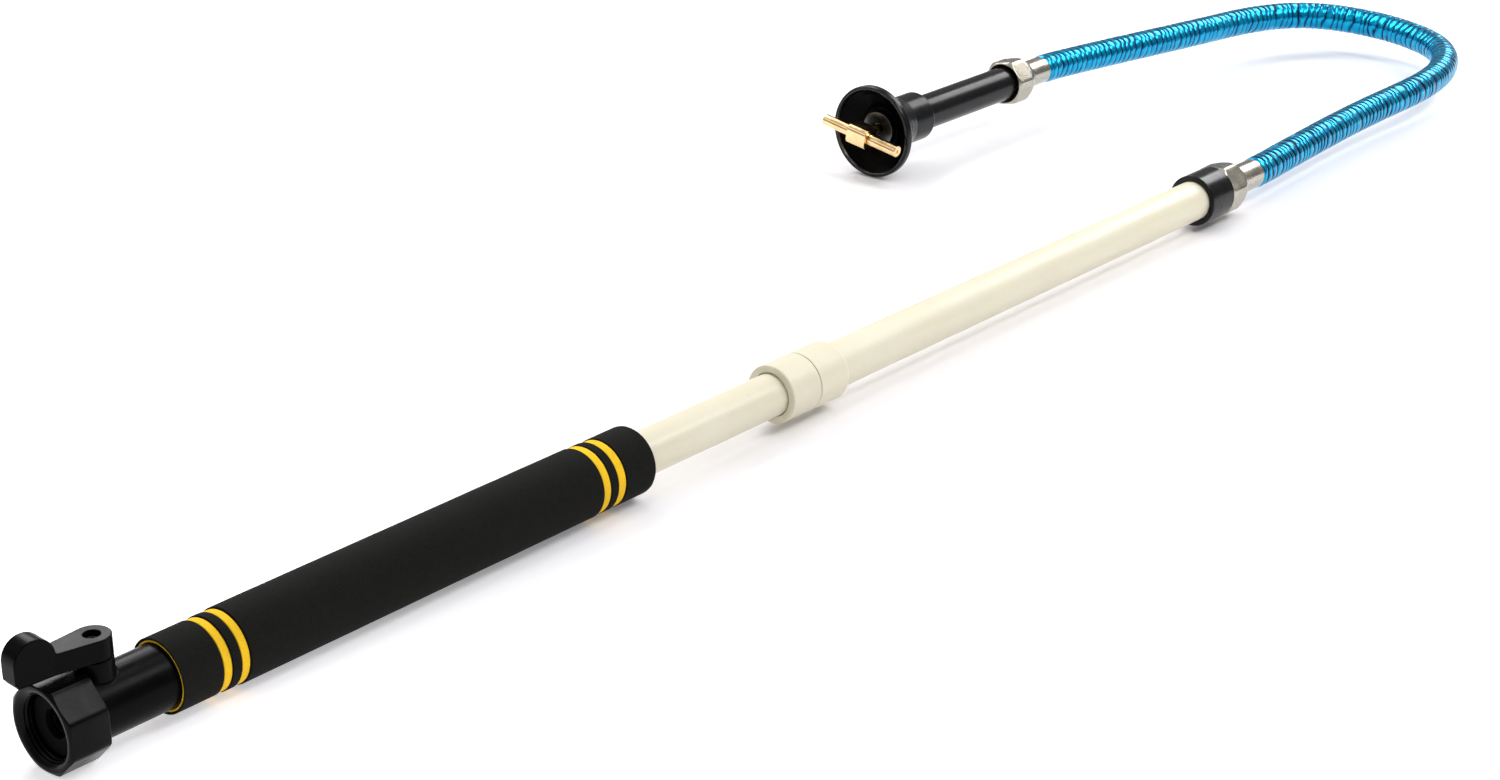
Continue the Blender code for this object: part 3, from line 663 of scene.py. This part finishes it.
def stem_boss(fillet=1.1, top=37.9, seg=96):
    th = np.linspace(0, math.tau, seg, endpoint=False)

    def skin(rho):
        return AXIS_Z + np.sqrt(np.clip(BODY_R ** 2 - (rho * np.sin(th)) ** 2, 0, None))

    rows = [(np.full_like(th, 2.8), np.full_like(th, 30.0)), (np.full_like(th, 2.8), np.full_like(th, top - 3.2)),
            (np.full_like(th, 4.6), np.full_like(th, top - 3.0)), (np.full_like(th, 4.6), np.full_like(th, top - 0.15)),
            (np.full_like(th, 4.75), np.full_like(th, top)), (np.full_like(th, HUB_R - 0.6), np.full_like(th, top))]
    for k in range(5):
        q = k / 4 * math.pi / 2
        rows.append((np.full_like(th, HUB_R - 0.5 + 0.5 * math.sin(q)), np.full_like(th, top - 0.5 + 0.5 * math.cos(q))))
    base = skin(HUB_R)
    for k in (0.25, 0.6, 0.9):
        rows.append((np.full_like(th, HUB_R), (top - 0.5) * (1 - k) + (base + fillet) * k))
    for k in range(7):
        q = k / 6 * math.pi / 2
        rho = HUB_R + fillet * (1 - math.cos(q))
        rows.append((np.full_like(th, rho), skin(rho) + fillet * (1 - math.sin(q)) - 0.03 * (k == 6)))
    rows.append((np.full_like(th, HUB_R - 1.0), skin(HUB_R - 1.0) - 1.0))
    rows.append((np.full_like(th, 3.4), np.full_like(th, 28.5)))
    p = np.array([np.stack([np.maximum(STEM_X + r * np.cos(th), 18.6), r * np.sin(th), z], -1) for r, z in rows])
    return link_mesh("stem_boss", p.reshape(-1, 3), loop_faces(len(rows), seg, True), BLACK)


boss = stem_boss()
bm = bmesh.new()
bm.from_mesh(shell.data)
bm.from_mesh(boss.data)
bm.to_mesh(shell.data)
bm.free()
shell.data.shade_smooth()
bpy.data.objects.remove(boss, do_unlink=True)
keep(shell, "handle", "black_plastic", "valve_body")

# ------------------------------------------------------------------ lever
FIN_R, FIN_X, FIN_HALF, Z0, Z1 = 8.7, -0.7, 4.55, 38.3, 46.9
tip = FIN_X + FIN_R
hub = [(STEM_X + HUB_R * math.cos(a), HUB_R * math.sin(a)) for a in np.radians(np.linspace(-104, 104, 49))]
plan = hub + [(tip - 1.0, FIN_HALF), (FIN_X - FIN_R + 1.0, FIN_HALF), (FIN_X - FIN_R + 1.0, -FIN_HALF), (tip - 1.0, -FIN_HALF)]
blank = temp("lever_blank", prism_bm(plan, Z0, Z1, "xy"))
arch = [(FIN_X + FIN_R * math.cos(a), Z1 + FIN_R * math.sin(a)) for a in np.linspace(0, math.pi, 49)]
fin = temp("lever_fin", prism_bm(arch + [(FIN_X - FIN_R, Z0 + 1.6), (FIN_X - FIN_R + 1.6, Z0), (tip, Z0)], -FIN_HALF, FIN_HALF, "xz"))


def drill(name, prof, seg=64):
    bm = bmesh.new()
    rings = []
    for z, r in prof:
        rings.append([bm.verts.new(at(STEM_X + r * math.cos(math.tau * k / seg), r * math.sin(math.tau * k / seg), z)) for k in range(seg)])
    for a, b in zip(rings, rings[1:]):
        for k in range(seg):
            bm.faces.new((a[k], a[(k + 1) % seg], b[(k + 1) % seg], b[k]))
    bm.faces.new(list(reversed(rings[0])))
    bm.faces.new(rings[-1])
    bmesh.ops.recalc_face_normals(bm, faces=bm.faces)
    return temp(name, bm)


hole = drill("lever_hole", [(30, 2.8), (42.9, 2.8), (43.0, 3.3), (60, 3.3)])
lever = moulded("lever_grip", blank, [(fin, "UNION"), (hole, "DIFFERENCE")], 0.26, 5, BLACK)
stem = at(STEM_X, 0.0, 0.0)
lever.data.transform(Matrix.Translation(stem) @ Matrix.Rotation(math.radians(-4.2), 4, "Z") @ Matrix.Translation(-stem))
keep(lever, "lever", "black_plastic", "lever")

# ------------------------------------------------------------------ foam grip
STRIPES = ((73.1, 76.9, 15.4), (81.8, 85.6, 15.6), (285.6, 289.8, 15.8), (295.0, 299.6, 15.7))


def foam_skin(seed):
    w1, w2 = waves(5, 0.004, 0.03, seed), waves(5, 0.02, 0.09, seed + 1)
    return lambda s, r, th: r + np.where(r > 15.0, 0.07 * w1(s + 9 * np.sin(th)) + 0.035 * w2(s + 14 * np.cos(th)), 0.0)


def sleeve(name, node, a, b, r, ends, inner=14.9):
    out = [(a, inner, 0.2), (a, r, ends[0])]
    n = max(1, int((b - a) / 6))
    out += [(a + (b - a) * k / n, r, 0.0) for k in range(1, n)]
    out += [(b, r, ends[1]), (b, inner, 0.2)]
    o = turned(name, out, FOAM, seg=128, shape=foam_skin(len(name)))
    keep(o, "handle", "black_foam", node)


sleeve("front_cuff", "grip_front_cuff", 53.6, 72.8, 15.7, (0.8, 0.35))
sleeve("front_band", "grip_front_band", 77.2, 81.5, 15.85, (0.35, 0.35))
sleeve("main_sleeve", "grip_main_sleeve", 85.9, 285.3, 16.3, (0.5, 0.5))
sleeve("rear_band", "grip_rear_band", 290.1, 294.7, 16.15, (0.35, 0.35))
rear = turned("rear_cuff", [(299.9, 14.9, 0.2), (299.9, 16.2, 0.35), (308, 16.2, 0.0), (320.0, 16.2, 4.6), (320.0, 11.1, 0.8),
                            (312.6, 11.1, 0.2), (312.6, 14.9, 0.2)], FOAM, seg=128, shape=foam_skin(40))
keep(rear, "handle", "black_foam", "grip_rear_cuff")
core = [(54.0, 13.8, 0.1), (54.0, 14.6, 0.15)]
for a, b, r in STRIPES:
    core += [(a, 14.6, 0.05), (a, r, 0.35), (b, r, 0.35), (b, 14.6, 0.05)]
core += [(311, 14.6, 0.1), (311, 13.8, 0.1)]
core = turned("foam_core", core, YELLOW, seg=128, shape=foam_skin(60))
keep(core, "handle", "yellow_foam", "grip_core")

# ------------------------------------------------------------------ turned pieces
STEM = (STEM_X, 0.0)
TURNED = (
    # name, node, body, material, slot, axis, outline
    ("hose_seal", "hose_washer", "hose_nut", RUBBER, "black_rubber", POLE, [(6.2, 6, .3), (6.2, 12.7, .3), (8.7, 12.7, .3), (8.7, 6, .3)]),
    ("flanged_tail", "tail_flange", "handle", BLACK, "black_plastic", POLE,
     [(9.0, 4, .2), (9.0, 12.2, .3), (11.7, 12.2, .3), (11.7, 6.7, .3), (19.3, 6.7, .2), (19.3, 4, .2)]),
    ("lower_pole", "lower_tube", "handle", IVORY, "ivory_plastic", POLE,
     [(38.6, 9.8, .2), (38.6, 10.6, .2), (690.0, 10.6, .2), (690.0, 9.8, .2)]),
    ("barrel", "handle_barrel", "handle", BLACK, "black_plastic", POLE, [(70.3, 11.0, .2), (70.3, 13.5, .2), (312, 13.5, .3), (312, 11.0, .2)]),
    ("ball_seat_front", "seat_front", "handle", PTFE, "white_ptfe", POLE,
     [(19.7, 4.0, .1), (19.7, 7.5, .2), (22.5, 7.5, .2), (22.5, 5.8, .1), (20.5, 4.0, .1)]),
    ("ball_seat_rear", "seat_rear", "handle", PTFE, "white_ptfe", POLE,
     [(32.1, 4.0, .1), (32.1, 7.5, .2), (29.3, 7.5, .2), (29.3, 5.8, .1), (31.3, 4.0, .1)]),
    ("slide_piston", "tube_piston", "handle", PTFE, "white_ptfe", POLE,
     [(676, 6, .2), (676, 9.4, .3), (690.4, 9.4, .1), (690.4, 10.55, .15), (692.5, 10.55, .1), (692.5, 9.2, .1), (695.5, 9.2, .1),
      (695.5, 10.55, .1), (697.5, 10.55, .1), (697.5, 9.2, .1), (700.5, 9.2, .1), (700.5, 10.55, .1), (702.5, 10.55, .2), (702.5, 6, .2)]),
    ("slide_ring_a", "piston_ring_a", "handle", RUBBER, "black_rubber", POLE,
     [(692.8, 9.5, .3), (692.8, 10.6, .8), (695.2, 10.6, .8), (695.2, 9.5, .3)]),
    ("slide_ring_b", "piston_ring_b", "handle", RUBBER, "black_rubber", POLE,
     [(697.8, 9.5, .3), (697.8, 10.6, .8), (700.2, 10.6, .8), (700.2, 9.5, .3)]),
    ("upper_pole_tube", "upper_tube", "upper_pole", IVORY, "ivory_plastic", POLE,
     [(443.2, 10.9, .15), (443.2, 11.45, .15), (816.8, 11.45, .15), (816.8, 10.9, .15)]),
    ("lock_housing", "lock_body", "upper_pole", IVORY, "ivory_plastic", POLE,
     [(424.8, 12.45, .1), (424.8, 13.1, .2), (439.7, 13.1, .1), (439.7, 14.7, .35), (459.9, 14.7, .8), (461.8, 13.4, .6), (461.8, 11.75, .2),
      (442.9, 11.75, .1), (442.9, 10.9, .1), (441.1, 10.9, .1), (441.1, 11.7, .1)]),
    ("twist_ring", "lock_nut", "lock_ring", IVORY, "ivory_plastic", POLE,
     [(418.5, 11.0, .25), (418.5, 14.7, .9), (439.2, 14.7, .35), (439.2, 13.4, .1), (421.2, 13.4, .2), (421.2, 11.0, .1)]),
    ("collet", "lock_collet", "upper_pole", PTFE, "white_ptfe", POLE,
     [(421.6, 10.95, .1), (421.6, 12.9, .2), (424.4, 12.9, .2), (424.4, 12.05, .1), (440.7, 11.35, .1), (440.7, 10.95, .1)]),
    ("pole_end", "end_collar", "upper_pole", HEAD_BLACK, "black_plastic", POLE,
     [(798.9, 11.75, .25), (798.9, 14.85, .6), (821.7, 14.85, .35), (821.7, 10.0, .3), (834.8, 10.0, .5), (834.8, 6, .2), (817.2, 6, .2),
      (817.2, 11.75, .1)]),
    ("union_seal", "union_washer", "upper_pole", RUBBER, "black_rubber", POLE, [(835.1, 6, .3), (835.1, 9.9, .3), (837.1, 9.9, .3), (837.1, 6, .3)]),
    ("near_tail", "hose_tail", "upper_pole", STEEL, "nickel_plate", POLE,
     [(837.4, 4, .2), (837.4, 10.3, .3), (839.8, 10.3, .3), (839.8, 6.0, .3), (866.5, 6.0, .3), (866.5, 4, .2)]),
    ("near_ferrule", "ferrule", "upper_pole", NICKEL, "nickel_plate", POLE,
     [(845.4, 6.3, .2), (845.4, 8.7, .3), (866.8, 8.7, .5), (866.8, 6.3, .2)]),
    ("far_ferrule", "head_ferrule", "spray_head", NICKEL, "nickel_plate", HEAD,
     [(921.7, 6.3, .2), (921.7, 8.7, .3), (941.3, 8.7, .5), (941.3, 6.3, .2)]),
    ("far_tail", "head_hose_tail", "spray_head", STEEL, "nickel_plate", HEAD,
     [(913.7, 4, .2), (913.7, 10.3, .3), (916.1, 10.3, .3), (916.1, 6.0, .3), (941.0, 6.0, .3), (941.0, 4, .2)]),
    ("head_seal", "head_washer", "spray_head", RUBBER, "black_rubber", HEAD, [(911.4, 6, .3), (911.4, 9.9, .3), (913.4, 9.9, .3), (913.4, 6, .3)]),
    ("nozzle_pipe", "nozzle_tube", "spray_head", HEAD_BLACK, "black_plastic", HEAD,
     [(792.4, 8.0, .2), (792.4, 10.8, .2), (900.0, 10.8, .3), (900.0, 10.1, .1), (911.1, 10.1, .4), (911.1, 6.5, .2), (800, 6.5, .2), (800, 8.0, .2)]),
    ("shield", "splash_shield", "spray_head", DISH_BLACK, "black_plastic", HEAD,
     [(760.4, 25.7, .5), (759.2, 26.3, .5), (759.2, 27.9, .5), (760.3, 28.4, .6), (763.4, 28.35, .8), (765.6, 25.7, 1.6), (772.6, 20.4, 8.0),
      (780.6, 16.6, 8.0), (787.0, 15.1, .4), (787.5, 15.1, .3), (805.3, 15.1, 1.6), (805.3, 11.1, .2), (792.0, 11.1, .1), (792.0, 6.5, .1),
      (768.0, 6.5, .1), (768.0, 4.0, .1), (766.0, 4.0, .2), (766.0, 11.1, .7), (770.5, 11.3, .5), (770.5, 13.2, 1.0), (764.2, 22.3, 2.0),
      (761.6, 25.3, .4)]),
    ("bush", "spindle_bush", "spray_head", PTFE, "white_ptfe", HEAD, [(768.3, 3.7, .2), (768.3, 6.2, .3), (791.6, 6.2, .2), (791.6, 3.7, .2)]),
    ("jet_spindle", "spindle", "jets", BRASS, "brass", HEAD,
     [(756.4, 1.6, .1), (756.4, 3.4, .2), (792.2, 3.4, .1), (792.2, 2.6, .1), (793.8, 2.6, .1), (793.8, 3.4, .1), (796.0, 3.4, .3), (796.0, 1.6, .2)]),
    ("clip", "spindle_clip", "jets", STEEL, "nickel_plate", HEAD, [(792.5, 2.9, .1), (792.5, 5.6, .2), (793.5, 5.6, .2), (793.5, 2.9, .1)]),
)
for name, node, body, mat, slot, axis, outline in TURNED:
    o = keep(turned(name, outline, mat, axis), body, slot, node)
    if mat is DISH_BLACK:
        # Marks the inside of the dish with 1 for painted shade, and the rim and boss edge with -1 for full gloss.
        at_v = np.array([v.co for v in o.data.vertices]) / MM + (OX, OY, 0.0)
        out = np.hypot(at_v[:, 1] - HEAD_Y, at_v[:, 2] - HEAD_Z)
        painted_dish_shade = out < np.interp(at_v[:, 0], (759.6, 760.4, 764.2, 770.5, 772.0), (25.9, 25.9, 24.5, 17.5, 12.0))
        rim = (np.abs(at_v[:, 0] - 766.3) < 0.6) & (np.abs(out - 10.8) < 0.6)
        rim |= (at_v[:, 0] < 760.8) & (np.abs(out - 26.0) < 0.5)
        o.data.attributes.new("painted_dish_shade", "FLOAT", "POINT").data.foreach_set("value", np.where(rim, -1.0, painted_dish_shade).astype(np.float32))

half = math.acos(3.5 / 6.3)
ball = [(STEM_X + 6.3 * math.sin(a), 6.3 * math.cos(a), 0.0) for a in np.linspace(-half, half, 25)]
keep(turned("ball", ball, STEEL), "lever", "nickel_plate", "valve_ball")
keep(turned("stem", [(24.1, 0.02, 0), (24.1, 2.5, .2), (42.8, 2.5, .2), (42.8, 1.6, .1), (36, 1.6, .1), (36, 0.02, 0)], STEEL, STEM,
            48, "Z"), "lever", "nickel_plate", "valve_stem")
keep(turned("stem_seal", [(35.75, 2.85, .6), (35.75, 4.3, .6), (37.6, 4.3, .6), (37.6, 2.85, .6)], RUBBER, STEM, 48, "Z"),
     "handle", "black_rubber", "stem_oring")
# The screw takes the near-black steel: painted shade in the lever's hole.
keep(turned("screw", [(36.4, 0.02, 0), (36.4, 1.25, .2), (43.1, 1.25, .1), (43.1, 2.95, .15), (44.9, 2.95, .7), (44.9, 1.3, .1),
                      (44.0, 1.2, .1), (44.0, 0.02, 0)], SHADED_SCREW_STEEL, STEM, 48, "Z"), "lever", "nickel_plate", "lever_screw")

# ------------------------------------------------------------------ union nuts
for name, node, body, x0, x1, axis in (("pole_nut", "union_nut", "pole_union", 822.2, 845.0, POLE),
                                       ("head_nut", "head_union_nut", "head_union", 898.5, 921.3, HEAD)):
    lip = x1 - 4.6
    o = faceted(name, 6, 27.0, math.radians(-10.0), x0, x1, (13.3, 0.86), (10.2, 0.556),
                [(x1, 9.2, 0.2), (x1 - 0.8, 8.9, 0.2), (x1 - 1.2, 6.6, 0.2), (lip, 6.6, 0.2), (lip - 0.3, 10.8, 0.3), (x0 + 4.2, 10.8, 0.3),
                 (x0 + 3.2, 12.3, 0.3), (x0 + 0.3, 12.4, 0.15), (x0, 12.7, 0.1)], NICKEL, axis, cut=0.4)
    keep(o, body, "nickel_plate", node)

# ------------------------------------------------------------------ spinning jets
JET_X, TILT = 750.0, math.radians(10.0)
TO_JET = Matrix.Translation(at(JET_X, HEAD_Y, HEAD_Z)) @ Matrix.Rotation(TILT, 4, "X")


def jet_block():
    bm = bmesh.new()
    bmesh.ops.create_cube(bm, size=1.0)
    for v in bm.verts:
        v.co = Vector((v.co.x * 12.2, v.co.y * 14.0, v.co.z * 12.0)) * MM
    front = [e for e in bm.edges if all(v.co.x < 0 for v in e.verts) and abs(e.verts[0].co.y - e.verts[1].co.y) > 1e-6]
    bmesh.ops.bevel(bm, geom=front, offset=3.5 * MM, segments=10, profile=0.5, affect="EDGES")
    sharp = [e for e in bm.edges if len(e.link_faces) == 2 and e.calc_face_angle() > math.radians(40)]
    bmesh.ops.bevel(bm, geom=sharp, offset=0.35 * MM, segments=3, profile=0.5, affect="EDGES")
    bm.transform(TO_JET)
    me = bpy.data.meshes.new("block")
    bm.to_mesh(me)
    bm.free()
    me.shade_smooth()
    me.materials.append(BRASS)
    o = bpy.data.objects.new("block", me)
    scene.collection.objects.link(o)
    w = o.modifiers.new("normals", "WEIGHTED_NORMAL")
    w.keep_sharp = False
    return o


keep(jet_block(), "jets", "brass", "jet_block")


def jet_arm(name, side):
    a, b = 7.3, 28.1
    prof = rounded([(a, 1.3, .1), (a, 3.5, .2), (b, 3.5, .55), (b, 1.05, .25), (b - 1.0, 0.65, .1), (b - 5.0, 0.65, .1), (b - 5.4, 1.3, .1)])
    seg = 64
    th = np.linspace(0, math.tau, seg, endpoint=False)
    verts = []
    for s, r in prof:
        for q in th:
            verts.append(TO_JET @ (Vector((r * math.cos(q), side * s, r * math.sin(q))) * MM))
    v = np.array([tuple(c) for c in verts]) / MM
    v[:, 0] += OX
    v[:, 1] += OY
    return link_mesh(name, v, loop_faces(len(prof), seg, True), BRASS)


keep(jet_arm("arm_near", -1), "jets", "brass", "jet_arm_near")
keep(jet_arm("arm_far", 1), "jets", "brass", "jet_arm_far")

# ------------------------------------------------------------------ floor and light
fl = Mat("floor", 0.9, spec=0.1)
fl.colour(fl.ramp(fl.noise(3.0, 2.0), ((0.3, (0.885, 0.875, 0.900)), (0.7, (0.900, 0.890, 0.915)))))
# The floor glows as painted light: emission 0.5 at X below -0.40 m, falling to 0.02 past -0.08 m, which washes out the
# shadows at the handle end.
fl.set(Emission_Color=(1.0, 0.985, 1.0, 1.0))
along = fl.node("ShaderNodeSeparateXYZ")
fl.link(fl.co, along.inputs["Vector"])
fl.link(fl.span(along.outputs["X"], 0.50, 0.02, -0.40, -0.08), fl.p.inputs["Emission Strength"])
bm = bmesh.new()
bmesh.ops.create_grid(bm, x_segments=1, y_segments=1, size=6.0)
me = bpy.data.meshes.new("floor")
bm.to_mesh(me)
bm.free()
me.materials.append(fl.m)
floor = bpy.data.objects.new("floor", me)
floor.location = (0.0, 0.0, -0.0004)
scene.collection.objects.link(floor)

world = bpy.data.worlds.new("studio")
scene.world = world
world.use_nodes = True
wt = world.node_tree
bg = wt.nodes["Background"]
geo = wt.nodes.new("ShaderNodeTexCoord")
sep = wt.nodes.new("ShaderNodeSeparateXYZ")
wt.links.new(geo.outputs["Generated"], sep.inputs["Vector"])
rampn = wt.nodes.new("ShaderNodeValToRGB")
rampn.color_ramp.elements[0].position, rampn.color_ramp.elements[0].color = 0.0, (0.42, 0.42, 0.43, 1)
rampn.color_ramp.elements[1].position, rampn.color_ramp.elements[1].color = 0.75, (1.0, 1.0, 1.0, 1)
wt.links.new(sep.outputs["Z"], rampn.inputs["Fac"])
wt.links.new(rampn.outputs["Color"], bg.inputs["Color"])
bg.inputs["Strength"].default_value = 0.50


def panel(name, where, target, size, power, colour=(1, 1, 1)):
    d = bpy.data.lights.new(name, "AREA")
    d.shape, d.size, d.size_y, d.energy, d.color = "RECTANGLE", size[0], size[1], power, colour
    o = bpy.data.objects.new(name, d)
    o.location = where
    o.rotation_euler = (Vector(target) - Vector(where)).to_track_quat("-Z", "Y").to_euler()
    scene.collection.objects.link(o)
    return o


panel("top_back", (0.5, 1.3, 1.9), (0.42, 0.0, 0.0), (1.5, 0.6), 20.0)
panel("right_end", (1.75, -0.05, 0.95), (0.42, 0.0, 0.03), (0.7, 0.5), 9.0)
panel("front_far", (1.15, -1.05, 1.35), (0.32, 0.0, 0.03), (0.8, 0.5), 9.0)
panel("left_back", (-1.5, 0.9, 1.3), (-0.1, 0.0, 0.0), (1.2, 1.0), 2.5)
panel("front_right", (0.355, -0.917, 1.267), (-0.46, -0.107, 0.02), (0.50, 0.55), 7.0)
panel("over", (0.34, -0.16, 1.36), (-0.40, -0.107, 0.03), (0.5, 0.3), 2.2)
panel("low_back", (0.38, 1.14, 0.86), (-0.44, -0.107, 0.045), (0.7, 0.45), 9.0)
scene.view_settings.view_transform = "Standard"
